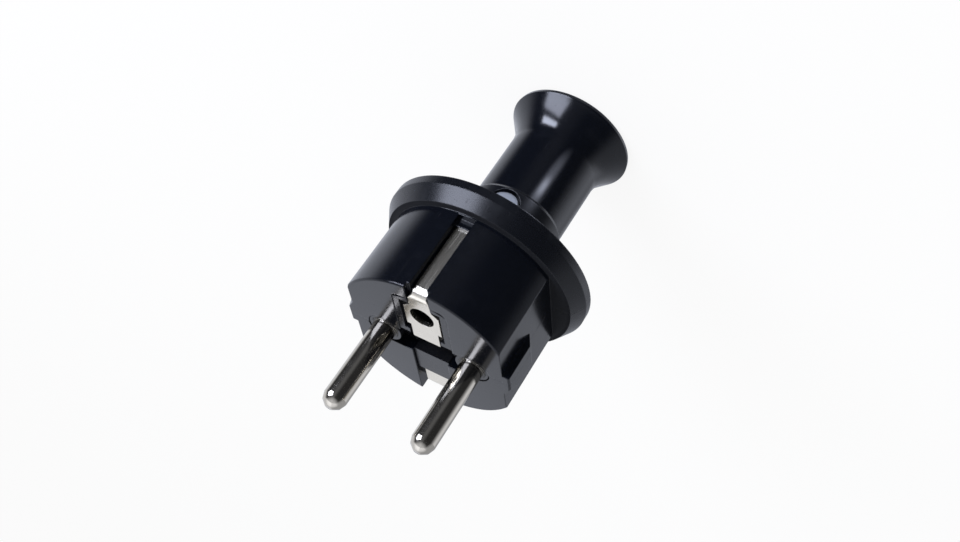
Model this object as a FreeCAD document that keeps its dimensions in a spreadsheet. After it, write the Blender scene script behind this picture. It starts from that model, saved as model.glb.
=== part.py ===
"""Rewirable earthed mains plug with two round pins: side earth contacts and an earth socket in the face.

The plug stands on the rim of its cable mouth, with its axis along Z and its pins up.  The origin is the
centre of that rim, and the side with the earth socket faces -Y.  All sizes are millimetres.
"""
import FreeCAD, Part

import os

import Sketcher

# Driving sizes
SIZES = {
    # pins
    "pin_diameter": 4.8,
    "pin_length": 19.0,
    "pin_pitch": 19.0,
    "pin_root_diameter": 5.6,
    "pin_bore_diameter": 5.7,
    # outline of the housing, from the face down to the rim of the mouth
    "body_length": 57.5,
    "body_diameter": 37.8,
    "body_width": 32.2,
    "face_chamfer": 0.3,
    "flange_diameter": 44.0,
    "flange_setback": 18.4,
    "flange_slope_height": 3.0,
    "flange_slope_depth": 1.8,
    "flange_rim": 1.8,
    "collar_step": 0.35,
    "collar_length": 9.9,
    "shoulder_height": 0.6,
    "neck_diameter": 19.2,
    "bell_diameter": 26.6,
    "bell_length": 8.4,
    "lip_height": 1.1,
    "lip_depth": 0.6,
    # inside of the housing
    "mouth_diameter": 23.4,
    "mouth_slope": 2.4,
    "mouth_depth": 8.5,
    "entry_diameter": 10.4,
    "entry_length": 2.0,
    "neck_wall": 1.3,
    "front_wall": 2.5,
    "body_wall": 3.5,
    "side_wall": 2.0,
    "chamber_length": 18.0,
    "carrier_groove_depth": 1.3,
    # guide ledges on the flat sides
    "ledge_height": 1.4,
    "ledge_step": 2.2,
    "ledge_top": 6.0,
    "ledge_slope": 2.6,
    "ledge_length": 10.3,
    "ledge_ramp": 2.3,
    "ledge_lead_height": 2.7,
    "ledge_lead_depth": 2.2,
    # openings in the face and earth slots
    "pocket_width": 11.4,
    "pocket_reach": 15.0,
    "pocket_corner": 1.6,
    "pin_opening_width": 14.8,
    "pin_opening_reach": 2.4,
    "rear_opening_reach": 3.75,
    "front_slot_width": 3.6,
    "rear_slot_width": 7.8,
    "slot_length": 18.0,
    "slot_end_depth": 1.3,
    "trough_wall": 1.5,
    # contact carrier
    "carrier_plate": 2.4,
    "carrier_reach_front": 14.6,
    "carrier_reach_rear": 10.5,
    "boss_diameter": 7.0,
    "frame_wall": 1.3,
    "frame_foot": 1.2,
    "frame_foot_gap": 6.6,
    "frame_end": 3.1,
    "window_reach": 3.6,
    "bridge_setback": 0.5,
    "partition_gap": 8.8,
    "partition_wall": 1.2,
    "partition_length": 13.0,
    "partition_reach": 8.6,
    # pin heads and their terminals
    "head_width": 7.0,
    "head_length": 10.0,
    "terminal_drop": 5.6,
    "screw_thread": 3.4,
    "screw_head": 5.2,
    "screw_head_height": 1.8,
    "screw_reach": 2.0,
    "slot_cut": 0.8,
    "washer_side": 6.0,
    "washer_thickness": 0.8,
    # earth contacts
    "strip_thickness": 0.8,
    "strip_level": 17.0,
    "strip_length": 16.2,
    "front_strip_width": 3.0,
    "rear_strip_width": 5.4,
    "strip_bend": 2.0,
    "strip_widening": 0.9,
    "plate_setback": 0.3,
    "plate_neck_width": 4.6,
    "plate_width": 7.4,
    "plate_shoulder": 12.9,
    "plate_waist": 6.0,
    "plate_tail_width": 5.8,
    "plate_end": 2.0,
    "rear_tab_setback": 0.9,
    "rear_leg_level": 10.9,
    "leg_length": 11.5,
    # earth socket
    "socket_offset": 10.0,
    "socket_bore": 5.0,
    "socket_wall": 0.7,
    "socket_length": 12.0,
    "socket_slit": 0.7,
    "ring_thickness": 0.6,
    "ring_width": 3.0,
    "ring_drop": 6.5,
    # earth terminal
    "earth_block_width": 6.4,
    "earth_block_depth": 5.5,
    "earth_block_length": 11.5,
    "earth_foot_height": 3.4,
    "rivet_diameter": 2.4,
    "rivet_head": 4.0,
    "rivet_head_height": 0.7,
    # housing screw and nut
    "housing_screw_drop": 29.5,
    "housing_thread": 4.0,
    "housing_head": 5.8,
    "housing_head_height": 2.2,
    "housing_head_depth": 2.65,
    "recess_diameter": 6.8,
    "pillar_width": 8.4,
    "nut_width": 7.0,
    "nut_height": 3.2,
    "nut_depth": 4.95,
    # cord clamp
    "clamp_bar_room": 1.7,
    "clamp_bar_thickness": 1.6,
    "clamp_gap": 3.0,
    "clamp_screw_inset": 1.7,
    "clamp_screw_thread": 2.4,
    "clamp_screw_head": 3.2,
    "clamp_screw_head_height": 1.3,
    "clamp_screw_reach": 2.8,
    "clamp_seat_height": 5.0,
    # clearances
    "fit": 0.1,
    "overcut": 1.0,
}

# Rings of the hollow curve from the bell to the neck: share of its height, and of its spread
BELL_CURVE = ((0.507, 0.311), (0.726, 0.095))
# Rings of a pin's tip in pin radii: distance from the axis, and from the top
PIN_TIP = ((1.0, 0.9), (0.8, 0.35), (0.35, 0.0))
# Half the height of an upright equilateral triangle of side two, which turns flats into corners
FLAT_TO_CORNER = 3 ** 0.5 / 2

FRONT = -1
REAR = 1

doc = FreeCAD.newDocument("earthed_plug")


class Size:
    """A length that knows its value and the expression that binds it to the sheet."""

    def __init__(self, text, value):
        self.text = text
        self.value = value

    @staticmethod
    def of(number):
        return number if isinstance(number, Size) else Size(str(float(number)), float(number))

    def joined(self, sign, other, value):
        return Size("(%s %s %s)" % (self.text, sign, Size.of(other).text), value)

    def __add__(self, other):
        return self.joined("+", other, self.value + Size.of(other).value)

    def __sub__(self, other):
        return self.joined("-", other, self.value - Size.of(other).value)

    def __mul__(self, other):
        return self.joined("*", other, self.value * Size.of(other).value)

    def __truediv__(self, other):
        return self.joined("/", other, self.value / Size.of(other).value)

    def __neg__(self):
        return self * -1


class Sizes:
    """The driving sizes as attributes, each one a cell of the spreadsheet."""

    def __init__(self, table):
        sheet = doc.addObject("Spreadsheet::Sheet", "Sizes")
        for row, (alias, value) in enumerate(table.items(), 1):
            sheet.set("A%d" % row, alias)
            sheet.set("B%d" % row, str(value))
            sheet.setAlias("B%d" % row, alias)
            setattr(self, alias, Size("Sizes." + alias, value))


s = Sizes(SIZES)
doc.recompute()
AXIS = Size.of(0)

# Places worked out from the driving sizes
body_radius = s.body_diameter / 2
half_width = s.body_width / 2
half_pitch = s.pin_pitch / 2
face = s.body_length
flange_front = face - s.flange_setback
rim_end = flange_front - s.flange_slope_height
flange_rear = rim_end - s.flange_rim
shoulder = flange_rear - s.collar_length
wall_inside = face - s.front_wall
carrier_back = wall_inside - s.carrier_plate
chamber_floor = wall_inside - s.chamber_length
chamber_radius = body_radius - s.body_wall
bore_radius = s.neck_diameter / 2 - s.neck_wall
collar_radius = s.neck_diameter / 2 + s.collar_step
strip_floor = s.strip_level - s.strip_thickness
plate_front = face - s.plate_setback
plate_back = plate_front - s.strip_thickness
tab_front = face - s.rear_tab_setback
tab_back = tab_front - s.strip_thickness
earth_block_top = plate_front - s.leg_length + s.earth_foot_height
earth_rivet_level = earth_block_top - s.earth_foot_height / 2
housing_screw_level = face - s.housing_screw_drop
head_back = carrier_back - s.head_length
pin_screw_level = carrier_back - s.terminal_drop
earth_screw_level = earth_block_top - s.earth_block_length + s.washer_side / 2
rivet_middle = s.rear_leg_level / 2
entry_top = s.mouth_depth + s.entry_length
clamp_room = housing_screw_level - s.pillar_width / 2 - entry_top
clamp_level = entry_top + clamp_room / 2
clamp_bar_width = clamp_room / 3
clamp_bar_half = bore_radius - s.clamp_bar_room
clamp_screw_side = clamp_bar_half - s.clamp_screw_inset
housing_head_seat = collar_radius - s.housing_head_depth
nut_seat = collar_radius - s.nut_depth


def place(thing, x=0, y=0, z=0, axis=None, angle=0.0):
    """Turn an object about an axis and bind its position to the sheet."""
    turn = FreeCAD.Rotation(FreeCAD.Vector(*(axis or (0, 0, 1))), angle)
    thing.Placement = FreeCAD.Placement(FreeCAD.Vector(), turn)
    for letter, value in zip("xyz", (x, y, z)):
        thing.setExpression("Placement.Base." + letter, Size.of(value).text)
    return thing


def bind(thing, **lengths):
    """Bind properties of an object to sizes."""
    for name, value in lengths.items():
        thing.setExpression(name, Size.of(value).text)
    return thing


def box(name, x, y, z, length, width, height):
    """A block that starts at x, y, z."""
    thing = bind(doc.addObject("Part::Box", name), Length=length, Width=width, Height=height)
    return place(thing, x, y, z)


def centred_box(name, y, z, length, width, height):
    """A block that lies evenly either side of the plane X = 0."""
    return box(name, -length / 2, y, z, length, width, height)


def side_box(name, side, near, far, z, length, height):
    """A block about X = 0 on the front or rear side, from one distance off the axis to another."""
    start = near * side if side == REAR else far * side
    return centred_box(name, start, z, length, far - near, height)


def rod(name, radius, length, x=0, y=0, z=0):
    """An upright cylinder that starts at x, y, z."""
    thing = bind(doc.addObject("Part::Cylinder", name), Radius=radius, Height=length)
    return place(thing, x, y, z)


def cross_rod(name, radius, start, end, x, z):
    """A cylinder along Y between two places on that axis."""
    thing = bind(doc.addObject("Part::Cylinder", name), Radius=radius, Height=end - start)
    return place(thing, x, start, z, (1, 0, 0), -90)


def fuse(name, *things):
    result = doc.addObject("Part::MultiFuse", name)
    result.Shapes = list(things)
    return result


def common(name, *things):
    result = doc.addObject("Part::MultiCommon", name)
    result.Shapes = list(things)
    return result


def cut(name, base, *tools):
    result = doc.addObject("Part::Cut", name)
    result.Base = base
    result.Tool = tools[0] if len(tools) == 1 else fuse(name + "_tools", *tools)
    return result


def fix_point(sketch, line, end, across, along):
    """Pin one end of a sketch line to the sheet, measured from the origin."""
    for kind, axis, value in (("DistanceX", -2, across), ("DistanceY", -1, along)):
        if value.value == 0:
            sketch.addConstraint(Sketcher.Constraint("PointOnObject", line, end, axis))
            continue
        index = sketch.addConstraint(Sketcher.Constraint(kind, -1, 1, line, end, value.value))
        sketch.setExpression("Constraints[%d]" % index, value.text)


def bent_edge(start, end, radius):
    """Arc from one corner to the next, and which of its ends lies at the first corner."""
    chord = end - start
    left = FreeCAD.Vector(-chord.y, chord.x, 0).normalize()
    size = abs(radius)
    offset = (size ** 2 - (chord.Length / 2) ** 2) ** 0.5
    centre = (start + end) * 0.5 + left * (offset if radius > 0 else -offset)
    first, last = (start, end) if radius > 0 else (end, start)
    circle = Part.Circle(centre, FreeCAD.Vector(0, 0, 1), size)
    arc = Part.ArcOfCircle(circle, circle.parameter(first), circle.parameter(last))
    return arc, ((1, 2) if radius > 0 else (2, 1))


def outline(sketch, corners):
    """Draw a closed outline, counter-clockwise.  A corner is (across, along), and a third value bends the
    edge that follows it into an arc of that radius, which bulges out if positive and in if negative."""
    corners = [(Size.of(c[0]), Size.of(c[1]), c[2] if len(c) > 2 else None) for c in corners]
    places = [FreeCAD.Vector(c[0].value, c[1].value, 0) for c in corners]
    ends = []
    for index, corner in enumerate(corners):
        start = places[index]
        end = places[(index + 1) % len(places)]
        edge, order = Part.LineSegment(start, end), (1, 2)
        if corner[2] is not None:
            edge, order = bent_edge(start, end, corner[2].value)
        sketch.addGeometry(edge)
        ends.append(order)
    for index, corner in enumerate(corners):
        before = index - 1 if index else len(corners) - 1
        joint = (before, ends[before][1], index, ends[index][0])
        sketch.addConstraint(Sketcher.Constraint("Coincident", *joint))
        fix_point(sketch, index, ends[index][0], corner[0], corner[1])
        if corner[2] is not None:
            radius = corner[2] if corner[2].value > 0 else -corner[2]
            number = sketch.addConstraint(Sketcher.Constraint("Radius", index, radius.value))
            sketch.setExpression("Constraints[%d]" % number, radius.text)
    return sketch


def flat_sketch(name, corners):
    """An outline in the XY plane."""
    return outline(doc.addObject("Sketcher::SketchObject", name), corners)


def upright_sketch(name, corners, angle=0.0):
    """An outline in the XZ plane, or in the YZ plane when it is turned by 90 degrees."""
    sketch = outline(doc.addObject("Sketcher::SketchObject", name), corners)
    stand = FreeCAD.Rotation(FreeCAD.Vector(1, 0, 0), 90)
    turn = FreeCAD.Rotation(FreeCAD.Vector(0, 0, 1), angle)
    sketch.Placement = FreeCAD.Placement(FreeCAD.Vector(), turn * stand)
    return sketch


def revolve(name, sketch, angle=360.0):
    """Turn an upright outline about Z."""
    solid = doc.addObject("Part::Revolution", name)
    solid.Source = sketch
    solid.Axis = (0, 0, 1)
    solid.Base = (0, 0, 0)
    solid.Angle = angle
    solid.Solid = True
    return solid


def extrude(name, sketch, direction, length, symmetric=False):
    """Extrude an outline along a direction."""
    solid = doc.addObject("Part::Extrusion", name)
    solid.Base = sketch
    solid.DirMode = "Custom"
    solid.Dir = direction
    solid.Solid = True
    solid.Symmetric = symmetric
    return bind(solid, LengthFwd=length)


def housing_outline():
    """Half section of the closed housing: bell, neck, collar, flange and body."""
    bell = s.bell_diameter / 2
    neck = s.neck_diameter / 2
    flange = s.flange_diameter / 2
    curve = []
    for height, spread in BELL_CURVE:
        across = neck + (bell - neck) * spread
        curve.append((across, s.lip_height + (s.bell_length - s.lip_height) * height))
    return [
        (0, 0),
        (bell - s.lip_depth, 0),
        (bell - s.lip_depth / 4, s.lip_height / 3),
        (bell, s.lip_height),
        *curve,
        (neck, s.bell_length),
        (neck, shoulder - s.shoulder_height),
        (collar_radius, shoulder),
        (collar_radius, flange_rear),
        (flange, flange_rear),
        (flange, rim_end),
        (flange - s.flange_slope_depth, flange_front),
        (body_radius, flange_front),
        (body_radius, face - s.face_chamfer),
        (body_radius - s.face_chamfer, face),
        (0, face),
    ]


def cavity_outline():
    """Half section of the space inside the housing: mouth, cable entry, neck bore and chamber."""
    mouth = s.mouth_diameter / 2
    entry = s.entry_diameter / 2
    seat = carrier_back - s.fit
    return [
        (0, 0),
        (mouth, 0),
        (bore_radius, s.mouth_slope),
        (bore_radius, s.mouth_depth),
        (entry, s.mouth_depth),
        (entry, entry_top),
        (bore_radius, entry_top),
        (bore_radius, chamber_floor),
        (chamber_radius, chamber_floor),
        (chamber_radius, seat),
        (chamber_radius + s.carrier_groove_depth, seat),
        (chamber_radius + s.carrier_groove_depth, wall_inside),
        (0, wall_inside),
    ]


def trough_block(name, side, slot_width):
    """Solid left in the chamber under an earth slot."""
    near = strip_floor - s.trough_wall
    width = slot_width + s.trough_wall * 2
    far = body_radius + s.overcut
    return side_box(name, side, near, far, chamber_floor, width, face - chamber_floor)


def side_blocks(name):
    """Solid left in the chamber behind the flat sides of the body."""
    inner = half_width - s.side_wall
    outer = body_radius + s.overcut
    blocks = []
    for label, start in (("plus", inner), ("minus", -outer)):
        block = box(name + "_" + label, start, -body_radius, chamber_floor, outer - inner,
                    s.body_diameter, face - chamber_floor)
        blocks.append(block)
    return blocks


def inner_rooms(name, side):
    """Room kept free in the chamber for the pin heads with their screws, and for the earth parts."""
    height = s.head_length + s.fit
    front = s.head_width / 2 + s.washer_thickness + s.screw_head_height + s.fit
    width = s.head_width + s.fit * 2
    rooms = []
    for label, x in (("left", -half_pitch), ("right", half_pitch)):
        rooms.append(box(name + "_" + label, x - width / 2, -front, head_back - s.fit, width,
                         front + s.head_width / 2 + s.fit, height))
    start = plate_back - s.socket_length - s.fit
    if side == FRONT:
        radius = s.socket_bore / 2 + s.socket_wall + s.ring_thickness + s.fit
        rooms.append(rod(name + "_socket", radius, carrier_back - start, 0, -s.socket_offset, start))
    else:
        reach = s.rear_leg_level + s.strip_thickness + s.rivet_head_height + s.fit
        rooms.append(centred_box(name + "_leg", AXIS, start, s.rear_strip_width + s.fit * 2, reach,
                                 carrier_back - start))
    return rooms


def side_relief(name, angle):
    """What is cut from one side of the body to leave the flat with its guide ledge."""
    outer = body_radius + s.overcut
    relief = box(name + "_flat", half_width, -body_radius, flange_front, outer - half_width,
                 s.body_diameter, s.flange_setback + s.overcut)
    ledge_outer = half_width + s.ledge_height
    bottom = face - s.ledge_length
    side = upright_sketch(name + "_ledge_side", [
        (half_width - s.overcut, bottom),
        (half_width, bottom),
        (ledge_outer, bottom + s.ledge_ramp),
        (ledge_outer, face - s.face_chamfer),
        (ledge_outer - s.face_chamfer, face),
        (half_width - s.overcut, face),
    ])
    wide = extrude(name + "_ledge_wide", side, (0, 1, 0), s.body_diameter, True)
    step = box(name + "_ledge_step", half_width - s.overcut, -body_radius, bottom,
               s.ledge_height + s.overcut, body_radius + s.ledge_step, s.ledge_length)
    spread = s.ledge_height / s.ledge_slope
    slope_across = ledge_outer + (s.ledge_top - s.ledge_step) * spread
    view = upright_sketch(name + "_ledge_view", [
        (0, bottom),
        (slope_across, bottom),
        (slope_across, face - s.ledge_lead_height),
        (slope_across - s.ledge_lead_depth * spread, face),
        (0, face),
    ])
    slope = extrude(name + "_ledge_slope", view, (0, 1, 0), s.body_diameter, True)
    bind(slope, **{"Dir.x": s.ledge_height, "Dir.y": s.ledge_slope})
    shape = cut(name, relief, common(name + "_ledge", wide, step, slope))
    return place(shape, 0, 0, 0, (0, 0, 1), angle)


def rounded_pocket(name):
    """The opening in the front shell for the frame of the contact carrier."""
    half = s.pocket_width / 2
    corner = s.pocket_corner
    plan = flat_sketch(name + "_plan", [
        (-half, 0),
        (-half, corner - s.pocket_reach, corner),
        (corner - half, -s.pocket_reach),
        (half - corner, -s.pocket_reach, corner),
        (half, corner - s.pocket_reach),
        (half, 0),
    ])
    pocket = extrude(name, plan, (0, 0, 1), s.front_wall + s.overcut)
    return place(pocket, 0, 0, wall_inside)


def boss_openings(name, radius):
    """Round openings in the face for the two pin bosses."""
    openings = []
    for label, x in (("left", -half_pitch), ("right", half_pitch)):
        openings.append(rod(name + "_" + label, radius, s.front_wall + s.overcut, x, 0, wall_inside))
    return openings


def earth_slot(name, side, width):
    """The slot along the body for an earth strip, with a shallow step at its end."""
    outside = body_radius + s.overcut
    run = side_box(name + "_run", side, strip_floor, outside, face - s.strip_length, width,
                   s.strip_length + s.overcut)
    end = side_box(name + "_end", side, body_radius - s.slot_end_depth, outside,
                   face - s.slot_length, width, s.slot_length)
    return [run, end]


def bend_relief(name, side, front, width):
    """The corner that is cut away under the bend of an earth strip."""
    back = front - s.strip_thickness
    view = upright_sketch(name + "_side_view", [
        ((s.strip_level - s.strip_bend) * side, back),
        (strip_floor * side, front - s.strip_bend),
        (strip_floor * side, back),
    ], 90.0)
    return extrude(name, view, (1, 0, 0), width, True)


def shell_base(name, side, slot_width):
    """One half of the housing, hollow inside, before the openings that only it has."""
    sketch = upright_sketch(name + "_outline", housing_outline(), 180.0 if side == FRONT else 0.0)
    solid = revolve(name + "_solid", sketch, 180.0)
    hollow = revolve(name + "_hollow", upright_sketch(name + "_cavity", cavity_outline()))
    liners = side_blocks(name + "_liner")
    liners.append(trough_block(name + "_trough", side, slot_width))
    chamber = cut(name + "_chamber", hollow, *liners)
    space = fuse(name + "_space", chamber, *inner_rooms(name + "_room", side))
    reliefs = [side_relief(name + "_plus_side", 0.0), side_relief(name + "_minus_side", 180.0)]
    return cut(name + "_base", solid, space, *reliefs)


def pillar(name, side):
    """The post round the housing screw, from the split plane into the collar."""
    reach = bore_radius + (collar_radius - bore_radius) / 2
    level = housing_screw_level - s.pillar_width / 2
    post = side_box(name + "_post", side, AXIS, reach, level, s.pillar_width, s.pillar_width)
    limit = rod(name + "_limit", reach, s.pillar_width, 0, 0, level)
    return common(name, post, limit)


def front_shell():
    """Half shell on the side of the earth socket."""
    name = "front_shell"
    base = fuse(name + "_body", shell_base(name, FRONT, s.front_slot_width), pillar(name + "_pillar", FRONT))
    openings = boss_openings(name + "_boss", s.boss_diameter / 2 + s.fit)
    openings.append(rounded_pocket(name + "_pocket"))
    openings.append(side_box(name + "_pin_opening", FRONT, AXIS, s.pin_opening_reach, wall_inside,
                             s.pin_opening_width, s.front_wall + s.overcut))
    neck_width = s.plate_neck_width + s.fit * 2
    openings.append(side_box(name + "_strip_passage", FRONT, s.pocket_reach - s.overcut,
                             body_radius + s.overcut, plate_back, neck_width, s.front_wall))
    openings.append(bend_relief(name + "_bend", FRONT, plate_front, neck_width))
    openings.extend(earth_slot(name + "_slot", FRONT, s.front_slot_width))
    openings.append(cross_rod(name + "_screw_hole", s.housing_thread / 2 + s.fit, -body_radius,
                              s.overcut, 0, housing_screw_level))
    openings.append(cross_rod(name + "_screw_recess", s.recess_diameter / 2, -body_radius,
                              -housing_head_seat, 0, housing_screw_level))
    return cut(name, base, *openings)


def nut_prism(name, width, start, length):
    """A hexagonal prism along +Y, with two flats square to Z."""
    prism = doc.addObject("Part::Prism", name)
    prism.Polygon = 6
    bind(prism, Circumradius=width / 2 / FLAT_TO_CORNER, Height=length)
    return place(prism, 0, start, housing_screw_level, (1, 0, 0), -90)


def clamp_seat(name):
    """Block across the neck bore that carries the cord and takes the clamp screws."""
    level = clamp_level - s.clamp_seat_height / 2
    block = side_box(name + "_block", REAR, s.clamp_gap / 2, s.neck_diameter / 2, level,
                     s.neck_diameter, s.clamp_seat_height)
    round_bore = rod(name + "_bore", bore_radius + s.neck_wall / 2, s.clamp_seat_height, 0, 0, level)
    return common(name, block, round_bore)


def rear_shell():
    """Half shell on the far side, which carries the cord clamp and the nut."""
    name = "rear_shell"
    base = fuse(name + "_body", shell_base(name, REAR, s.rear_slot_width), pillar(name + "_pillar", REAR),
                clamp_seat(name + "_seat"))
    openings = boss_openings(name + "_boss", s.rear_opening_reach)
    openings.append(side_box(name + "_window", REAR, AXIS, s.rear_opening_reach, wall_inside,
                             s.pin_pitch, s.front_wall + s.overcut))
    leg_far = s.rear_leg_level + s.strip_thickness + s.fit
    openings.append(side_box(name + "_leg_passage", REAR, s.rear_opening_reach, leg_far, wall_inside,
                             s.rear_slot_width, s.front_wall + s.overcut))
    openings.append(side_box(name + "_tab_passage", REAR, leg_far, body_radius + s.overcut, tab_back,
                             s.rear_slot_width, s.front_wall))
    openings.append(bend_relief(name + "_bend", REAR, tab_front, s.rear_slot_width))
    openings.extend(earth_slot(name + "_slot", REAR, s.rear_slot_width))
    openings.append(cross_rod(name + "_screw_hole", s.housing_thread / 2 + s.fit, -s.overcut,
                              body_radius, 0, housing_screw_level))
    openings.append(nut_prism(name + "_nut_pocket", s.nut_width + s.fit * 2, nut_seat, body_radius))
    for label, x in (("left", -clamp_screw_side), ("right", clamp_screw_side)):
        openings.append(cross_rod(name + "_clamp_hole_" + label, s.clamp_screw_thread / 2, -s.overcut,
                                  s.clamp_gap / 2 + s.clamp_screw_reach, x, clamp_level))
    return cut(name, base, *openings)


def contact_carrier():
    """Moulded insert that holds the pins and the earth parts behind and through the face."""
    name = "contact_carrier"
    top = face - s.fit
    disc = rod(name + "_disc", chamber_radius + s.carrier_groove_depth - s.fit, s.carrier_plate, 0, 0,
               carrier_back)
    length = (half_width - s.side_wall - s.fit) * 2
    reach = s.carrier_reach_front + s.carrier_reach_rear
    limit = centred_box(name + "_limit", -s.carrier_reach_front, carrier_back, length, reach,
                        s.carrier_plate)
    plate = common(name + "_plate", disc, limit)
    parts = [plate]
    for label, x in (("left", -half_pitch), ("right", half_pitch)):
        parts.append(rod(name + "_boss_" + label, s.boss_diameter / 2, top - carrier_back, x, 0,
                         carrier_back))
    frame_width = s.pocket_width - s.fit * 2
    frame_reach = s.pocket_reach - s.fit
    frame = side_box(name + "_frame", FRONT, s.frame_end, frame_reach, wall_inside, frame_width,
                     top - wall_inside)
    corners = rod(name + "_frame_round", frame_reach, top - wall_inside, 0, 0, wall_inside)
    parts.append(common(name + "_frame_block", frame, corners))
    parts.append(side_box(name + "_bridge", REAR, s.window_reach, s.carrier_reach_rear - s.fit,
                          wall_inside, s.rear_slot_width - s.fit * 2,
                          s.front_wall - s.bridge_setback))
    partition_start = carrier_back - s.partition_length
    for label, x in (("left", -s.partition_gap / 2 - s.partition_wall), ("right", s.partition_gap / 2)):
        parts.append(box(name + "_partition_" + label, x, -s.partition_reach, partition_start,
                         s.partition_wall, s.partition_reach * 2, s.partition_length))
    body = fuse(name + "_body", *parts)
    inner_width = frame_width - s.frame_wall * 2
    through = face - carrier_back + s.overcut * 2
    holes = [
        side_box(name + "_plate_pocket", FRONT, s.frame_end + s.frame_foot, frame_reach - s.frame_wall,
                 plate_back, inner_width, s.front_wall),
        side_box(name + "_foot_gap", FRONT, s.frame_end - s.overcut, s.frame_end + s.frame_foot * 2,
                 plate_back, s.frame_foot_gap, s.front_wall),
        side_box(name + "_neck_gap", FRONT, s.plate_shoulder, s.pocket_reach + s.overcut, plate_back,
                 s.plate_neck_width + s.fit * 2, s.front_wall),
        rod(name + "_socket_hole", s.socket_bore / 2 + s.socket_wall + s.fit, through, 0,
            -s.socket_offset, carrier_back - s.overcut),
        centred_box(name + "_window", -s.frame_end, carrier_back - s.overcut, frame_width,
                    s.frame_end + s.window_reach, through),
    ]
    for label, x in (("left", -half_pitch), ("right", half_pitch)):
        holes.append(rod(name + "_bore_" + label, s.pin_bore_diameter / 2, through, x, 0,
                         carrier_back - s.overcut))
    return cut(name, body, *holes)


def pin(name, x):
    """Round pin with a domed tip, a thicker root and a square head, drilled across for its screw."""
    radius = s.pin_diameter / 2
    root = s.pin_root_diameter / 2
    top = face + s.pin_length
    profile = upright_sketch(name + "_profile", [
        (0, carrier_back - s.overcut),
        (root, carrier_back - s.overcut),
        (root, face),
        (radius, face),
        *[(radius * across, top - radius * down) for across, down in PIN_TIP],
        (0, top),
    ])
    shank = place(revolve(name + "_shank", profile), x, 0, 0)
    head = box(name + "_head", x - s.head_width / 2, -s.head_width / 2, head_back, s.head_width,
               s.head_width, s.head_length)
    hole = cross_rod(name + "_thread", s.screw_thread / 2, -s.head_width, s.screw_reach, x,
                     pin_screw_level)
    return cut(name, fuse(name + "_blank", shank, head), hole)


def screw(name, x, z, under_head, tip, thread, head, head_height):
    """Screw along Y with its head on the -Y side."""
    return fuse(
        name,
        cross_rod(name + "_thread", thread / 2, under_head - head_height / 2, tip, x, z),
        cross_rod(name + "_head", head / 2, under_head - head_height, under_head, x, z),
    )


def clamp_washer(name, x, z, seat):
    """Square washer under the head of a terminal screw."""
    plate = box(name + "_plate", x - s.washer_side / 2, seat - s.washer_thickness,
                z - s.washer_side / 2, s.washer_side, s.washer_thickness, s.washer_side)
    hole = cross_rod(name + "_hole", s.screw_thread / 2 + s.fit, seat - s.washer_side,
                     seat + s.overcut, x, z)
    return cut(name, plate, hole)


def terminal_screw(name, x, z, seat, tip):
    """Screw of a terminal, seated on its washer."""
    return screw(name, x, z, seat - s.washer_thickness, tip, s.screw_thread, s.screw_head,
                 s.screw_head_height)


def folded_strip(name, side, width, level, front, inner, leg_end, strip_end):
    """Side view of a folded strip: along the body, over the face and back inside as a leg.

    The view lies in the YZ plane with the body's axis at zero, and is drawn for the rear side."""
    thick = s.strip_thickness
    bend = s.strip_bend
    corners = [
        (level * side, strip_end),
        (level * side, front - bend, bend * side),
        ((level - bend) * side, front),
        (inner * side, front),
        (inner * side, leg_end),
        ((inner + thick) * side, leg_end),
        ((inner + thick) * side, front - thick),
        ((level - bend) * side, front - thick, (thick - bend) * side),
        ((level - thick) * side, front - bend),
        ((level - thick) * side, strip_end),
    ]
    view = upright_sketch(name + "_side_view", corners, 90.0)
    return extrude(name + "_folded", view, (1, 0, 0), width, True)


def front_earth_contact():
    """Folded strip: slot contact, plate with the socket hole, and the leg behind it."""
    name = "front_earth_contact"
    sheet = folded_strip(name, FRONT, s.plate_width, s.strip_level, plate_front, s.plate_end,
                         plate_front - s.leg_length, face - s.strip_length)
    tall = s.strip_length + s.leg_length
    bottom = face - tall
    plan = flat_sketch(name + "_plan", [
        (-s.front_strip_width / 2, -s.strip_level - s.overcut),
        (s.front_strip_width / 2, -s.strip_level - s.overcut),
        (s.front_strip_width / 2, s.strip_widening - s.strip_level),
        (s.plate_neck_width / 2, s.strip_widening * 2 - s.strip_level),
        (s.plate_neck_width / 2, -s.plate_shoulder),
        (s.plate_width / 2, s.frame_foot - s.plate_shoulder),
        (s.plate_width / 2, -s.plate_waist),
        (s.plate_tail_width / 2, -s.plate_waist),
        (s.plate_tail_width / 2, 0),
        (-s.plate_tail_width / 2, 0),
        (-s.plate_tail_width / 2, -s.plate_waist),
        (-s.plate_width / 2, -s.plate_waist),
        (-s.plate_width / 2, s.frame_foot - s.plate_shoulder),
        (-s.plate_neck_width / 2, -s.plate_shoulder),
        (-s.plate_neck_width / 2, s.strip_widening * 2 - s.strip_level),
        (-s.front_strip_width / 2, s.strip_widening - s.strip_level),
    ])
    shape = place(extrude(name + "_tall_plan", plan, (0, 0, 1), tall + s.overcut), 0, 0, bottom)
    blank = common(name + "_blank", sheet, shape)
    hole = rod(name + "_socket_hole", s.socket_bore / 2, s.front_wall * 2, 0, -s.socket_offset,
               wall_inside)
    rivet_hole = cross_rod(name + "_rivet_hole", s.rivet_diameter / 2, -s.socket_offset, s.overcut, 0,
                           earth_rivet_level)
    return cut(name, blank, hole, rivet_hole)


def rear_earth_contact():
    """Folded strip of the other earth slot, with its tab in the face and its leg."""
    name = "rear_earth_contact"
    sheet = folded_strip(name, REAR, s.rear_strip_width, s.strip_level, tab_front, s.rear_leg_level,
                         plate_front - s.leg_length, face - s.strip_length)
    rivet_hole = cross_rod(name + "_rivet_hole", s.rivet_diameter / 2, s.rear_leg_level - s.overcut,
                           s.rear_leg_level + s.strip_thickness + s.overcut, 0, earth_rivet_level)
    return cut(name, sheet, rivet_hole)


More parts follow.
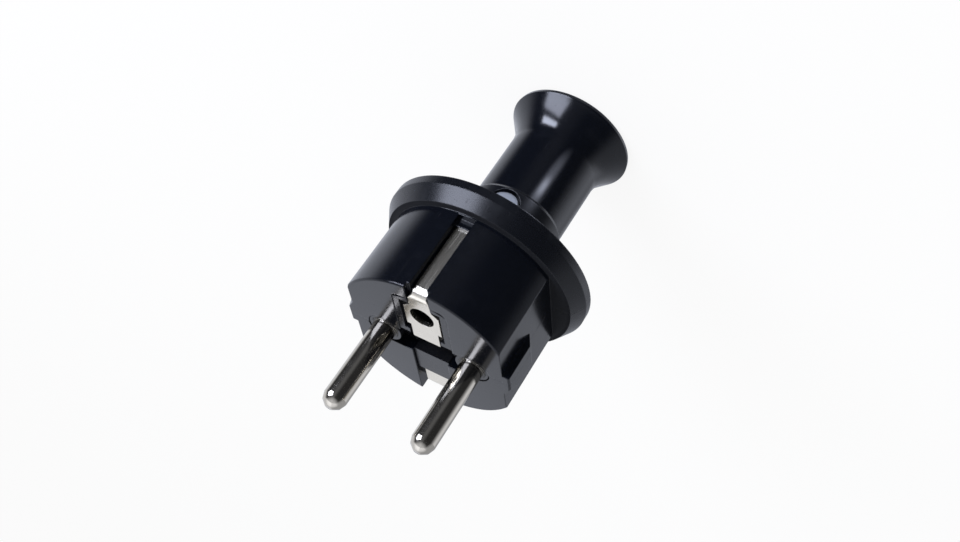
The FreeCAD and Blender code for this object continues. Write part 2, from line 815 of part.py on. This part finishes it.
def earth_socket():
    """Slit tube behind the plate that takes the earth pin of the wall outlet."""
    name = "earth_socket"
    start = plate_back - s.socket_length
    outer = rod(name + "_outer", s.socket_bore / 2 + s.socket_wall, s.socket_length, 0,
                -s.socket_offset, start)
    bore = rod(name + "_bore", s.socket_bore / 2, s.socket_length + s.overcut * 2, 0,
               -s.socket_offset, start - s.overcut)
    slit = centred_box(name + "_slit", -s.socket_offset - s.socket_bore, start - s.overcut,
                       s.socket_slit, s.socket_bore * 2, s.socket_length - s.front_wall)
    return cut(name, outer, bore, slit)


def socket_ring():
    """Spring ring that closes the slit tube."""
    name = "earth_socket_ring"
    radius = s.socket_bore / 2 + s.socket_wall
    start = plate_back - s.ring_drop - s.ring_width
    outer = rod(name + "_outer", radius + s.ring_thickness, s.ring_width, 0, -s.socket_offset, start)
    bore = rod(name + "_bore", radius, s.ring_width + s.overcut * 2, 0, -s.socket_offset,
               start - s.overcut)
    gap = side_box(name + "_gap", FRONT, s.socket_offset, s.socket_offset * 2, start - s.overcut,
                   s.socket_slit * 2, s.ring_width + s.overcut * 2)
    return cut(name, outer, bore, gap)


def earth_terminal():
    """Brass block between the two earth contacts, with a foot to the rear one."""
    name = "earth_terminal"
    start = -s.plate_end
    block = box(name + "_block", -s.earth_block_width / 2, start, earth_block_top - s.earth_block_length,
                s.earth_block_width, s.earth_block_depth, s.earth_block_length)
    foot = box(name + "_foot", -s.earth_block_width / 2, start, earth_block_top - s.earth_foot_height,
               s.earth_block_width, s.rear_leg_level + s.plate_end, s.earth_foot_height)
    thread = cross_rod(name + "_thread", s.screw_thread / 2, start - s.overcut,
                       start + s.earth_block_depth - s.overcut, 0, earth_screw_level)
    rivet_hole = cross_rod(name + "_rivet_hole", s.rivet_diameter / 2, start - s.overcut,
                           s.rear_leg_level + s.overcut, 0, earth_rivet_level)
    return cut(name, fuse(name + "_blank", block, foot), thread, rivet_hole)


def rivet(name, start, end, head_side):
    """Rivet along Y with one round head, which lies beyond the end on the head side."""
    head_start = start - s.rivet_head_height if head_side == FRONT else end
    head_end = start if head_side == FRONT else end + s.rivet_head_height
    return fuse(
        name,
        cross_rod(name + "_shank", s.rivet_diameter / 2, start, end, 0, earth_rivet_level),
        cross_rod(name + "_head", s.rivet_head / 2, head_start, head_end, 0, earth_rivet_level),
    )


def housing_screw():
    """Slotted screw that closes the housing, set in the recess of the collar."""
    name = "housing_screw"
    head_top = -housing_head_seat - s.housing_head_height
    bolt = screw(name + "_blank", AXIS, housing_screw_level, -housing_head_seat,
                 nut_seat + s.nut_height, s.housing_thread, s.housing_head, s.housing_head_height)
    slot = centred_box(name + "_slot", head_top, housing_screw_level - s.slot_cut / 2,
                       s.housing_head * 2, s.housing_head_height / 2, s.slot_cut)
    return cut(name, bolt, slot)


def housing_nut():
    """Hexagon nut in its pocket in the rear shell."""
    name = "housing_nut"
    blank = nut_prism(name + "_blank", s.nut_width, nut_seat, s.nut_height)
    hole = cross_rod(name + "_hole", s.housing_thread / 2, -s.overcut, body_radius, 0,
                     housing_screw_level)
    return cut(name, blank, hole)


def cord_clamp_bar():
    """Bar that presses the cord onto its seat, hollowed in the middle."""
    name = "cord_clamp_bar"
    top = -s.clamp_gap / 2
    bar = box(name + "_bar", -clamp_bar_half, top - s.clamp_bar_thickness,
              clamp_level - clamp_bar_width / 2, clamp_bar_half * 2, s.clamp_bar_thickness,
              clamp_bar_width)
    cuts = []
    saddle = clamp_screw_side - s.clamp_screw_head / 2
    cuts.append(rod(name + "_saddle", saddle, clamp_bar_width * 2, 0,
                    top + saddle - s.clamp_bar_thickness / 2, clamp_level - clamp_bar_width))
    for label, x in (("left", -clamp_screw_side), ("right", clamp_screw_side)):
        cuts.append(cross_rod(name + "_hole_" + label, s.clamp_screw_thread / 2 + s.fit,
                              -s.neck_diameter, s.overcut, x, clamp_level))
    return cut(name, bar, *cuts)


def clamp_screw(name, x):
    """Screw of the cord clamp."""
    under_head = -s.clamp_gap / 2 - s.clamp_bar_thickness
    return screw(name, x, clamp_level, under_head, s.clamp_gap / 2 + s.clamp_screw_reach,
                 s.clamp_screw_thread, s.clamp_screw_head, s.clamp_screw_head_height)


def build():
    """Every piece of the plug, as document objects named after their nodes."""
    pieces = [front_shell(), rear_shell(), contact_carrier()]
    seat = -s.head_width / 2
    for label, x in (("left", -half_pitch), ("right", half_pitch)):
        pieces.append(pin("pin_" + label, x))
        pieces.append(clamp_washer("clamp_washer_" + label, x, pin_screw_level, seat))
        pieces.append(terminal_screw("terminal_screw_" + label, x, pin_screw_level, seat, s.screw_reach))
    pieces.append(front_earth_contact())
    pieces.append(rear_earth_contact())
    pieces.append(earth_socket())
    pieces.append(socket_ring())
    pieces.append(earth_terminal())
    pieces.append(rivet("earth_rivet_front", -s.plate_end - s.strip_thickness, rivet_middle, FRONT))
    pieces.append(rivet("earth_rivet_rear", rivet_middle, s.rear_leg_level + s.strip_thickness, REAR))
    pieces.append(clamp_washer("clamp_washer_earth", AXIS, earth_screw_level, -s.plate_end))
    pieces.append(terminal_screw("terminal_screw_earth", AXIS, earth_screw_level, -s.plate_end,
                                 s.earth_block_depth - s.plate_end - s.overcut))
    pieces.append(housing_screw())
    pieces.append(housing_nut())
    pieces.append(cord_clamp_bar())
    pieces.append(clamp_screw("cord_clamp_screw_left", -clamp_screw_side))
    pieces.append(clamp_screw("cord_clamp_screw_right", clamp_screw_side))
    return pieces


def check(pieces):
    """Stop before anything is written if an object failed or a piece isn't one sound solid."""
    failed = [thing.Name for thing in doc.Objects if {"Invalid", "Error"} & set(thing.State)]
    if failed:
        raise RuntimeError("failed objects: " + ", ".join(failed))
    for piece in pieces:
        shape = piece.Shape
        if shape.isNull() or not shape.isValid() or len(shape.Solids) != 1:
            raise RuntimeError("%s has %d solids" % (piece.Name, len(shape.Solids)))


pieces = build()
doc.recompute()
check(pieces)
os.makedirs("parts", exist_ok=True)
for piece in pieces:
    piece.Label = piece.Name
    piece.Shape.exportStep(os.path.join("parts", piece.Name + ".step"))
    bounds = piece.Shape.BoundBox
    print("%-24s volume %9.2f  z %.2f to %.2f" % (piece.Name, piece.Shape.Volume, bounds.ZMin, bounds.ZMax))
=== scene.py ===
# %% [markdown]
# # A rewirable mains plug
#
# A rewirable plug is two moulded half shells that one screw holds together.  Between them sits a
# moulded carrier with two nickel-plated pins and two folded earth contacts.  The solid model gives
# every piece its real size and place.  This lesson dresses it: finishes for each piece, a studio
# and a camera.

import math

import bpy
from mathutils import Matrix, Vector

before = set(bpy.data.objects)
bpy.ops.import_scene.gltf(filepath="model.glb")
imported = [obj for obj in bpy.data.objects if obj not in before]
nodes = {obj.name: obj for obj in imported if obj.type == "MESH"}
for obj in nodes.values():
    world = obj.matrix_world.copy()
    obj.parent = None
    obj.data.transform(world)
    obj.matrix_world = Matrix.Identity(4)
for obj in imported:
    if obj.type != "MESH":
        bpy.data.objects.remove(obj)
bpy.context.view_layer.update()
MM = 0.001
print("pieces in the solid model:", len(nodes))

# %% [markdown]
# ## Where the eye stands
#
# A camera can be placed by eye, or worked out from things of known size.  Here the pins are 19 mm
# apart and 19 mm long, which fixes the distance and the lens.  The plug stands on its cable mouth,
# so the camera is turned far over about its own line of sight to show it lying across the picture
# with its pins down.

# %% Camera
CAMERA_PLACE = Vector((-77.6, -184.25, 140.6)) * MM
AIM_HEIGHT = 38.1 * MM
CAMERA_ROLL = math.radians(145.7)
LENS = 43.56
SENSOR = 36.0
NEAREST = 10 * MM

camera_data = bpy.data.cameras.new("studio_camera")
camera_data.sensor_width = SENSOR
camera_data.lens = LENS
camera_data.clip_start = NEAREST
camera = bpy.data.objects.new("studio_camera", camera_data)
bpy.context.scene.collection.objects.link(camera)
sight = Vector((0, 0, AIM_HEIGHT)) - CAMERA_PLACE
level = sight.to_track_quat("-Z", "Y").to_matrix().to_4x4()
turned = Matrix.Rotation(-CAMERA_ROLL, 4, "Z")
camera.matrix_world = Matrix.Translation(CAMERA_PLACE) @ level @ turned
bpy.context.scene.camera = camera
bpy.context.scene.view_settings.view_transform = "Standard"
print("camera distance in mm:", round(sight.length / MM, 1))

# %% [markdown]
# ## Wires
#
# Shader maths is hard to read when every sum takes four lines of node making.  A small class wraps
# a socket, so that a sum of two values adds its Math node by itself.  One method makes every other
# kind of node: it sets the node up first, and then its sockets.  The methods below it are short
# names for the nodes that the lesson uses most.


# %% Helpers for shader nodes
class Wire:
    """An output socket that adds Math nodes when it is used in a sum."""

    def __init__(self, tree, socket):
        self.tree = tree
        self.socket = socket

    def __add__(self, other):
        return self.tree.math("ADD", self, other)

    def __radd__(self, other):
        return self.tree.math("ADD", other, self)

    def __sub__(self, other):
        return self.tree.math("SUBTRACT", self, other)

    def __rsub__(self, other):
        return self.tree.math("SUBTRACT", other, self)

    def __mul__(self, other):
        return self.tree.math("MULTIPLY", self, other)

    def __rmul__(self, other):
        return self.tree.math("MULTIPLY", other, self)

    def __truediv__(self, other):
        return self.tree.math("DIVIDE", self, other)

    def __rtruediv__(self, other):
        return self.tree.math("DIVIDE", other, self)

    def __pow__(self, other):
        return self.tree.math("POWER", self, other)

    def __rpow__(self, other):
        return self.tree.math("POWER", other, self)


class Tree:
    """The node tree of a material or of the world."""

    def __init__(self, owner):
        owner.use_nodes = True
        self.tree = owner.node_tree
        self.tree.nodes.clear()

    def node(self, kind, settings=None, sockets=None, output=0):
        """Add a node, set it up, then set or link its sockets.  Returns one of its outputs."""
        made = self.tree.nodes.new(kind)
        for name, value in (settings or {}).items():
            setattr(made, name, value)
        for name, value in (sockets or {}).items():
            if isinstance(value, Wire):
                self.tree.links.new(value.socket, made.inputs[name])
            else:
                made.inputs[name].default_value = value
        return Wire(self, made.outputs[output]) if made.outputs else None

    def math(self, operation, first, second):
        """A Math node."""
        return self.node("ShaderNodeMath", {"operation": operation}, {0: first, 1: second})

    def unsigned(self, value):
        """A value without its sign."""
        return self.math("ABSOLUTE", value, 0.0)

    def smooth(self, value, none, full, level=1.0):
        """0 at one value and a level at another, flat beyond both and smooth between them."""
        return self.node("ShaderNodeMapRange", {"interpolation_type": "SMOOTHSTEP"},
                         {"Value": value, "From Min": none, "From Max": full, "To Max": level})

    def place(self):
        """Place on the object, in metres."""
        return self.node("ShaderNodeTexCoord", output="Object")

    def parts(self, vector):
        """The x, the y and the z of a vector."""
        return [self.node("ShaderNodeSeparateXYZ", None, {0: vector}, axis) for axis in "XYZ"]

    def dot(self, first, second):
        """How far one vector reaches along another, times the other's length."""
        return self.node("ShaderNodeVectorMath", {"operation": "DOT_PRODUCT"},
                         {0: first, 1: second}, "Value")

    def mix_colour(self, factor, first, second):
        """Blend two colours."""
        return self.node("ShaderNodeMix", {"data_type": "RGBA"},
                         {0: factor, 6: first, 7: second}, output=2)

    def mix_vector(self, factor, first, second):
        """Blend two vectors."""
        return self.node("ShaderNodeMix", {"data_type": "VECTOR"},
                         {0: factor, 4: first, 5: second}, output=1)


print("helpers ready")

# %% [markdown]
# ## The studio
#
# A glossy black thing is hardly seen by its own colour: what shows is what it mirrors.  So the
# studio is built for its reflections, by the bearing and the height that each mirrored ray has.
# The bearing is in degrees from +Y towards +X.  The far side is grey, and pale towards +X.  The
# side of the eye is almost dark, and a pale ceiling and a grey table close the room.  The camera
# itself sees plain white.

# %% World
WHITE = 1.0
FILL = 0.75
ROOM = 0.030
MIRRORED_TINT = (0.96, 1.0, 1.12, 1.0)

world = bpy.data.worlds.new("studio_world")
bpy.context.scene.world = world
sky = Tree(world)
across, away, up = sky.parts(sky.node("ShaderNodeTexCoord", output="Generated"))
bearing = sky.math("ARCTAN2", across, away) * math.degrees(1.0)

grey_side = sky.smooth(bearing, none=-105, full=-75, level=0.42)
white_side = sky.smooth(bearing, none=0, full=24, level=0.40)
far_side = sky.smooth(bearing, none=110, full=80)
eye_side = sky.smooth(sky.unsigned(bearing), none=150, full=178, level=0.10)
ceiling = sky.smooth(up, none=0.62, full=0.95, level=0.65)
table = sky.smooth(up, none=-0.60, full=-0.85, level=0.35)
table_end = (sky.smooth(up, none=-0.08, full=-0.36, level=0.42)
             * sky.smooth(bearing, none=-85, full=-60)
             * sky.smooth(bearing, none=-25, full=-50))
mirrored = (grey_side + white_side) * far_side + eye_side + ceiling + table + table_end + ROOM

camera_ray = sky.node("ShaderNodeLightPath", output="Is Camera Ray")
clear_ray = sky.node("ShaderNodeLightPath", output="Is Transmission Ray")
glossy_ray = sky.node("ShaderNodeLightPath", output="Is Glossy Ray")
seen = camera_ray + clear_ray
reflected = glossy_ray * (1.0 - seen)
scattered = (1.0 - seen) * (1.0 - glossy_ray)
strength = seen * WHITE + reflected * mirrored + scattered * FILL
tint = sky.mix_colour(reflected, (1.0, 1.0, 1.0, 1.0), MIRRORED_TINT)
background = sky.node("ShaderNodeBackground", None, {"Color": tint, "Strength": strength})
sky.node("ShaderNodeOutputWorld", None, {"Surface": background})
print("world nodes:", len(world.node_tree.nodes))

# %% [markdown]
# ## The floor
#
# The floor is a plain white sheet, and the camera sees it as white as the world, with a trace of
# the plug's shadow.  Mirrored rays pass through it to the world, which has a table of its own
# below the plug.

# %% Floor
FLOOR_HALF = 4.0
SHADOW_SHARE = 0.12
PAPER = (0.9, 0.9, 0.9, 1.0)

bpy.ops.object.select_all(action="DESELECT")
bpy.ops.mesh.primitive_plane_add(size=2 * FLOOR_HALF, location=(0, 0, 0))
floor = bpy.context.object
floor.name = "studio_floor"
paper = bpy.data.materials.new("white_paper")
sheet = Tree(paper)
plain_share = sheet.node("ShaderNodeLightPath", output="Is Camera Ray") * (1.0 - SHADOW_SHARE)
plain = sheet.node("ShaderNodeEmission", None, {"Color": (1.0, 1.0, 1.0, 1.0), "Strength": WHITE})
matt = sheet.node("ShaderNodeBsdfDiffuse", None, {"Color": PAPER})
mixed = sheet.node("ShaderNodeMixShader", None, {0: plain_share, 1: matt, 2: plain})
sheet.node("ShaderNodeOutputMaterial", None, {"Surface": mixed})
floor.data.materials.append(paper)
floor.visible_glossy = False
print("floor side in m:", 2 * FLOOR_HALF)

# %% [markdown]
# ## A window in two panes
#
# The key is a tall window beside the eye, on its +X side, in two panes.  The upper pane makes the
# square light on the flared mouth, the broad light on the flange and the round dots on the tips of
# the pins.  The lower pane is smaller and brighter, and the hollow curve above the mouth squeezes
# it into a crescent.

# %% Lamps
PLUG_MIDDLE = Vector((0, 0, 25 * MM))
DAYLIGHT = (0.87, 0.93, 1.14)
WINDOW_DISTANCE = 0.60


def window_pane(name, bearing, rise, width, height, power):
    """A lamp that the camera doesn't see, at a bearing from +Y towards +X and a height angle."""
    turn = math.radians(bearing)
    flat = math.cos(math.radians(rise))
    outward = Vector((math.sin(turn) * flat, math.cos(turn) * flat, math.sin(math.radians(rise))))
    data = bpy.data.lights.new(name, "AREA")
    data.shape = "RECTANGLE"
    data.size = width
    data.size_y = height
    data.energy = power
    data.color = DAYLIGHT
    lamp = bpy.data.objects.new(name, data)
    bpy.context.scene.collection.objects.link(lamp)
    lamp.location = PLUG_MIDDLE + outward * WINDOW_DISTANCE
    lamp.rotation_euler = (-outward).to_track_quat("-Z", "Y").to_euler()
    lamp.visible_camera = False
    return lamp


upper = window_pane("upper_pane", bearing=142, rise=26, width=0.40, height=0.25, power=2.3)
lower = window_pane("lower_pane", bearing=145, rise=-1, width=0.36, height=0.13, power=2.1)
print("lamps:", [lamp.name for lamp in (upper, lower)])

# %% [markdown]
# ## A glow beside the neck
#
# The long streak on the neck is narrow, and it fades from the collar to the mouth.  A lamp would
# make an even streak, so a small card lies beside the neck instead.  Its glow fades along and
# across, in a fan that opens away from the neck: a bright core within a wide halo.  Apart from its
# glow, which shows from above only, the card is clear, and only mirrored rays see it.

# %% Glow card
CARD_MIDDLE = Vector((-14.5, -23.2, 9.0)) * MM
CARD_HALF = 16 * MM
OUTWARD = Vector((-0.536, -0.845, 0.0))
SIDEWAYS = Vector((0.845, -0.536, 0.0))
FAN_START = 20 * MM
FAN_LEAST = 1 * MM

bpy.ops.object.select_all(action="DESELECT")
bpy.ops.mesh.primitive_plane_add(size=2 * CARD_HALF, location=CARD_MIDDLE)
card = bpy.context.object
card.name = "glow_card"
bpy.ops.object.transform_apply(location=True, rotation=False, scale=False)
glowing = bpy.data.materials.new("fading_glow")
fade = Tree(glowing)
from_middle = fade.node("ShaderNodeVectorMath", {"operation": "SUBTRACT"},
                        {0: fade.place(), 1: CARD_MIDDLE})
along = fade.dot(from_middle, OUTWARD)
aside = fade.unsigned(fade.dot(from_middle, SIDEWAYS))
fan = aside / fade.math("MAXIMUM", along + FAN_START, FAN_LEAST)
core = (fade.smooth(fan, none=0.23, full=0.02, level=6.5)
        * fade.smooth(fade.unsigned(along), none=6 * MM, full=0.5 * MM))
halo = (fade.smooth(fan, none=0.36, full=0.05, level=1.8)
        * fade.smooth(along, none=-19 * MM, full=-8 * MM)
        * fade.smooth(along, none=15 * MM, full=4 * MM))
from_above = 1.0 - fade.node("ShaderNodeNewGeometry", output="Backfacing")
glow_level = (core + halo) * from_above
tinted = fade.node("ShaderNodeCombineXYZ", None,
                   {axis: glow_level * share for axis, share in zip("XYZ", DAYLIGHT)})
glow = fade.node("ShaderNodeEmission", None, {"Color": tinted})
clear = fade.node("ShaderNodeBsdfTransparent")
both = fade.node("ShaderNodeAddShader", None, {0: glow, 1: clear})
fade.node("ShaderNodeOutputMaterial", None, {"Surface": both})
card.data.materials.append(glowing)
card.visible_camera = False
card.visible_diffuse = False
card.visible_shadow = False
print("glow card at mm:", [round(c / MM, 1) for c in CARD_MIDDLE])

# %% [markdown]
# ## Patterns of a handled surface
#
# No surface is even: it has blotches, a grain and hair scratches.  Each is a noise of its own size
# on the plug's own coordinates, and a stretched noise gives marks that run one way.  Two more
# helpers pick out a place on the plug by its height or by the way it faces.


# %% Surface patterns
def noise(tree, place, size, detail=3.0, roughness=0.5):
    """Soft blotches of a given size in metres, from 0 to 1."""
    return tree.node("ShaderNodeTexNoise", None, {
        "Vector": place,
        "Scale": 1.0 / size,
        "Detail": detail,
        "Roughness": roughness,
    })


def stretched(tree, place, factors, turn=(0.0, 0.0, 0.0)):
    """Place scaled by a factor along each axis, for long marks."""
    return tree.node("ShaderNodeMapping", {"vector_type": "POINT"},
                     {"Vector": place, "Rotation": turn, "Scale": factors})


def hair_scratches(tree, place, size, turn):
    """Thin long marks in one direction, as a mask."""
    drawn = stretched(tree, place, (1.0, 1.0, 0.06), turn)
    return tree.smooth(noise(tree, drawn, size, detail=2.0), none=0.66, full=0.72)


def radius_of(x, y):
    """The distance of a place from an axis, from its two parts across that axis."""
    return (x * x + y * y) ** 0.5


def band(tree, value, middle, half):
    """1 where a value lies within a half width of the middle, and 0 well outside it."""
    return tree.smooth(tree.unsigned(value - middle), none=half * 1.5, full=half)


def facing_up(tree, none, full):
    """1 where the true normal points upwards, and 0 on steeper faces."""
    true = tree.node("ShaderNodeNewGeometry", output="True Normal")
    upward = tree.node("ShaderNodeSeparateXYZ", None, {0: true}, "Z")
    return tree.smooth(upward, none, full)


print("surface patterns ready")

# %% [markdown]
# ## Edges and turned curves
#
# A moulded or pressed edge is never sharp, so a Bevel node softens the shading of each edge, and a
# Bump node lays the fine relief on top.  The flared mouth and the tips of the pins are turned in a
# few straight steps in the solid model, where the real ones are smooth curves.  There the normal is
# worked out from the place: it leans as the real curve does.

# %% Normals
BEVEL_SAMPLES = 6
LIP_END = 1.1 * MM
BELL_END = 8.4 * MM
BELL_INSIDE = 9.4 * MM
BELL_POWER = 0.72
BELL_LEAN = 0.872
PIN_SIDE = 9.5 * MM
PIN_RADIUS = 2.4 * MM
TIP_START = 74.34 * MM
TIP_HEIGHT = 2.16 * MM


def rounded_edges(tree, radius):
    """The normal with its edges softened."""
    return tree.node("ShaderNodeBevel", {"samples": BEVEL_SAMPLES}, {"Radius": radius})


def relief(tree, normal, height, strength, distance):
    """A normal with a fine relief on it."""
    return tree.node("ShaderNodeBump", None, {
        "Strength": strength,
        "Distance": distance,
        "Height": height,
        "Normal": normal,
    })


def direction(tree, x, y, z):
    """A vector of length 1 from its three parts."""
    vector = tree.node("ShaderNodeCombineXYZ", None, {"X": x, "Y": y, "Z": z})
    return tree.node("ShaderNodeVectorMath", {"operation": "NORMALIZE"}, {0: vector})


def bell_normal(tree, rounded):
    """The normal with the rings of the flared mouth smoothed into one hollow curve."""
    x, y, z = tree.parts(tree.place())
    radius = radius_of(x, y)
    share = tree.math("MAXIMUM", (BELL_END - z) / (BELL_END - LIP_END), 0.0)
    hollow = direction(tree, x / radius, y / radius, share ** BELL_POWER * BELL_LEAN)
    true = tree.node("ShaderNodeNewGeometry", output="True Normal")
    from_axis = tree.node("ShaderNodeCombineXYZ", None, {"X": x, "Y": y})
    outside = (tree.math("GREATER_THAN", tree.dot(true, from_axis), 0.0)
               * tree.math("GREATER_THAN", radius, BELL_INSIDE))
    region = (tree.smooth(z, none=LIP_END - 0.1 * MM, full=LIP_END + 0.4 * MM)
              * tree.smooth(z, none=BELL_END + 0.6 * MM, full=BELL_END))
    return tree.mix_vector(region * outside, rounded, hollow)


def tip_normal(tree, rounded):
    """The normal with the rings of the pins' tips smoothed into one dome."""
    x, y, z = tree.parts(tree.place())
    beside = (x - tree.math("SIGN", x, 0.0) * PIN_SIDE) / PIN_RADIUS
    before = y / PIN_RADIUS
    left = tree.math("MAXIMUM", 1.0 - beside * beside - before * before, 0.0)
    dome = direction(tree, beside, before, left ** 0.5 * (PIN_RADIUS / TIP_HEIGHT))
    region = tree.smooth(z, none=TIP_START - 0.1 * MM, full=TIP_START + 0.1 * MM)
    return tree.mix_vector(region, rounded, dome)


def finish_with(tree, sockets):
    """End a material in a Principled shader."""
    shader = tree.node("ShaderNodeBsdfPrincipled", None, sockets)
    tree.node("ShaderNodeOutputMaterial", None, {"Surface": shader})


print("normals ready")

# %% [markdown]
# ## Glossy black plastic
#
# The shells are moulded in black with a blue cast, and then handled.  A plain glossy shader looks
# like wet paint, so a slow waviness from the mould, a fine grain, smudges and hair scratches break
# it up.  The rim of the flange is rubbed duller than the rest.  The collar and the front of the
# flange are duller too, because they hardly mirror the room in the photograph.

# %% Black plastic
PLASTIC_IOR = 1.5
SHELL_BLACK = (0.0020, 0.0028, 0.0052, 1.0)
SHELL_SMUDGED = (0.0045, 0.0055, 0.0088, 1.0)


def black_plastic():
    """Glossy bluish-black moulding of the shells."""
    material = bpy.data.materials.new("glossy_black_moulding")
    tree = Tree(material)
    place = tree.place()
    waves = noise(tree, place, size=9 * MM, detail=1.0)
    grain = noise(tree, place, size=0.22 * MM)
    marks = hair_scratches(tree, place, size=0.5 * MM, turn=(0.4, 0.2, 0.0))
    blotches = noise(tree, place, size=6 * MM, detail=4.0, roughness=0.6)
    smudge = tree.smooth(blotches, none=0.52, full=0.70)
    x, y, z = tree.parts(place)
    rubbed_rim = tree.smooth(radius_of(x, y), none=19.2 * MM, full=20.0 * MM)
    collar = (tree.smooth(z, none=24.0 * MM, full=24.6 * MM)
              * tree.smooth(z, none=34.4 * MM, full=34.0 * MM))
    flange_front = (band(tree, z, middle=39.1 * MM, half=0.25 * MM)
                    * facing_up(tree, none=0.90, full=0.97))
    rough = (0.15 + smudge * 0.05 + grain * 0.03 + marks * 0.10
             + rubbed_rim * 0.11 + collar * 0.12 + flange_front * 0.70)
    height = waves * 0.6 + grain * 0.05 - marks * 0.04
    normal = bell_normal(tree, rounded_edges(tree, radius=0.30 * MM))
    finish_with(tree, {
        "Base Color": tree.mix_colour(smudge * 0.5, SHELL_BLACK, SHELL_SMUDGED),
        "Roughness": rough,
        "IOR": PLASTIC_IOR,
        "Normal": relief(tree, normal, height, strength=0.35, distance=0.05 * MM),
    })
    return material


shell_finish = black_plastic()
print("nodes in the shells' finish:", len(shell_finish.node_tree.nodes))

# %% [markdown]
# ## The carrier
#
# The insert is moulded in a harder black plastic that is a little duller and less blue, so its
# frame shows as a thin grey line round the earth plate.

# %% Carrier plastic
CARRIER_BLACK = (0.004, 0.0045, 0.006, 1.0)
CARRIER_SMUDGED = (0.008, 0.0085, 0.011, 1.0)


def carrier_plastic():
    """Satin black moulding of the insert."""
    material = bpy.data.materials.new("satin_black_moulding")
    tree = Tree(material)
    place = tree.place()
    grain = noise(tree, place, size=0.15 * MM, detail=4.0)
    smudge = noise(tree, place, size=4 * MM)
    normal = rounded_edges(tree, radius=0.12 * MM)
    finish_with(tree, {
        "Base Color": tree.mix_colour(smudge, CARRIER_BLACK, CARRIER_SMUDGED),
        "Roughness": 0.20 + smudge * 0.08 + grain * 0.06,
        "IOR": PLASTIC_IOR,
        "Normal": relief(tree, normal, grain, strength=0.25, distance=0.02 * MM),
    })
    return material


carrier_finish = carrier_plastic()
print("nodes in the carrier's finish:", len(carrier_finish.node_tree.nodes))

# %% [markdown]
# ## Plated metals
#
# The pins are turned brass with a nickel plate, so the lathe leaves faint rings, and sockets leave
# scratches along the pin.  The earth contacts are pressed from tinned strip, whose rolling lines run
# along its length.  Both are the same idea with another size and direction, so one function makes
# every metal.  In the photograph the inside of the earth hole and the step round each pin show
# almost black, so painted shade darkens the metal in those two places.

# %% Metals
FACE = 57.5 * MM
HOLE_OFFSET = 10 * MM
# Painted shade: the colour given to metal in the earth hole and on the step round each pin.
PAINTED_SHADE_METAL = (0.03, 0.028, 0.025, 1.0)
RINGS = (0.05, 0.05, 1.0)
LENGTHWISE = (1.0, 1.0, 0.05)


def painted_shade_places(tree, place):
    """Where painted shade goes: 1 in the earth hole under its plate and on the step round each pin,
    and 0 elsewhere.
    """
    x, y, z = tree.parts(place)
    hole = (tree.smooth(radius_of(x, y + HOLE_OFFSET), none=3.0 * MM, full=2.7 * MM)
            * tree.smooth(z, none=FACE - 16 * MM, full=FACE - 14 * MM)
            * tree.smooth(z, none=FACE - 0.5 * MM, full=FACE - 1.2 * MM))
    from_pin = radius_of(tree.unsigned(x) - PIN_SIDE, y)
    step = (band(tree, z, middle=FACE, half=0.1 * MM)
            * facing_up(tree, none=0.7, full=0.9)
            * tree.smooth(from_pin, none=3.2 * MM, full=3.0 * MM))
    return tree.math("MAXIMUM", hole, step)


def metal(name, clean, dull, grain, stretch, rough, spread, depth, bevel):
    """A plated or bare metal with a grain that is drawn out along one axis."""
    material = bpy.data.materials.new(name)
    tree = Tree(material)
    place = tree.place()
    drawn = noise(tree, stretched(tree, place, stretch), size=grain)
    cloud = noise(tree, place, size=3 * MM)
    marks = hair_scratches(tree, place, size=0.35 * MM, turn=(0.0, 0.15, 0.0))
    shade = tree.mix_colour(cloud * 0.6, clean, dull)
    normal = tip_normal(tree, rounded_edges(tree, radius=bevel))
    finish_with(tree, {
        # Painted shade darkens the metal in the earth hole and on the step round each pin.
        "Base Color": tree.mix_colour(painted_shade_places(tree, place), shade, PAINTED_SHADE_METAL),
        "Metallic": 1.0,
        "Roughness": rough + drawn * spread + marks * 0.10,
        "Normal": relief(tree, normal, drawn - marks * 0.5, strength=0.3, distance=depth),
    })
    return material


nickel = metal("turned_nickel", clean=(0.64, 0.60, 0.52, 1.0), dull=(0.52, 0.48, 0.41, 1.0),
               grain=0.20 * MM, stretch=RINGS, rough=0.10, spread=0.08,
               depth=0.0015 * MM, bevel=0.15 * MM)
tin = metal("tinned_strip", clean=(0.86, 0.81, 0.70, 1.0), dull=(0.72, 0.67, 0.57, 1.0),
            grain=0.30 * MM, stretch=LENGTHWISE, rough=0.21, spread=0.10,
            depth=0.002 * MM, bevel=0.12 * MM)
brass = metal("bare_brass", clean=(0.78, 0.58, 0.28, 1.0), dull=(0.60, 0.43, 0.20, 1.0),
              grain=0.15 * MM, stretch=LENGTHWISE, rough=0.22, spread=0.16,
              depth=0.006 * MM, bevel=0.10 * MM)
zinc = metal("zinc_plated_steel", clean=(0.60, 0.63, 0.67, 1.0), dull=(0.40, 0.42, 0.45, 1.0),
             grain=0.20 * MM, stretch=RINGS, rough=0.52, spread=0.12,
             depth=0.008 * MM, bevel=0.50 * MM)
print("metals:", [m.name for m in (nickel, tin, brass, zinc)])

# %% [markdown]
# ## Dressing the pieces
#
# The record names a slot for the finish of each node, so one table turns slots into finishes.

# %% Give each node its finish
FINISHES = {
    "black_plastic": shell_finish,
    "inner_plastic": carrier_finish,
    "nickel_brass": nickel,
    "tinned_brass": tin,
    "terminal_brass": brass,
    "zinc_steel": zinc,
}
for piece in nodes.values():
    for slot in piece.material_slots:
        slot_name = slot.material.name.split(".")[0]
        slot.material = FINISHES[slot_name]
print("dressed:", len(nodes), "pieces")
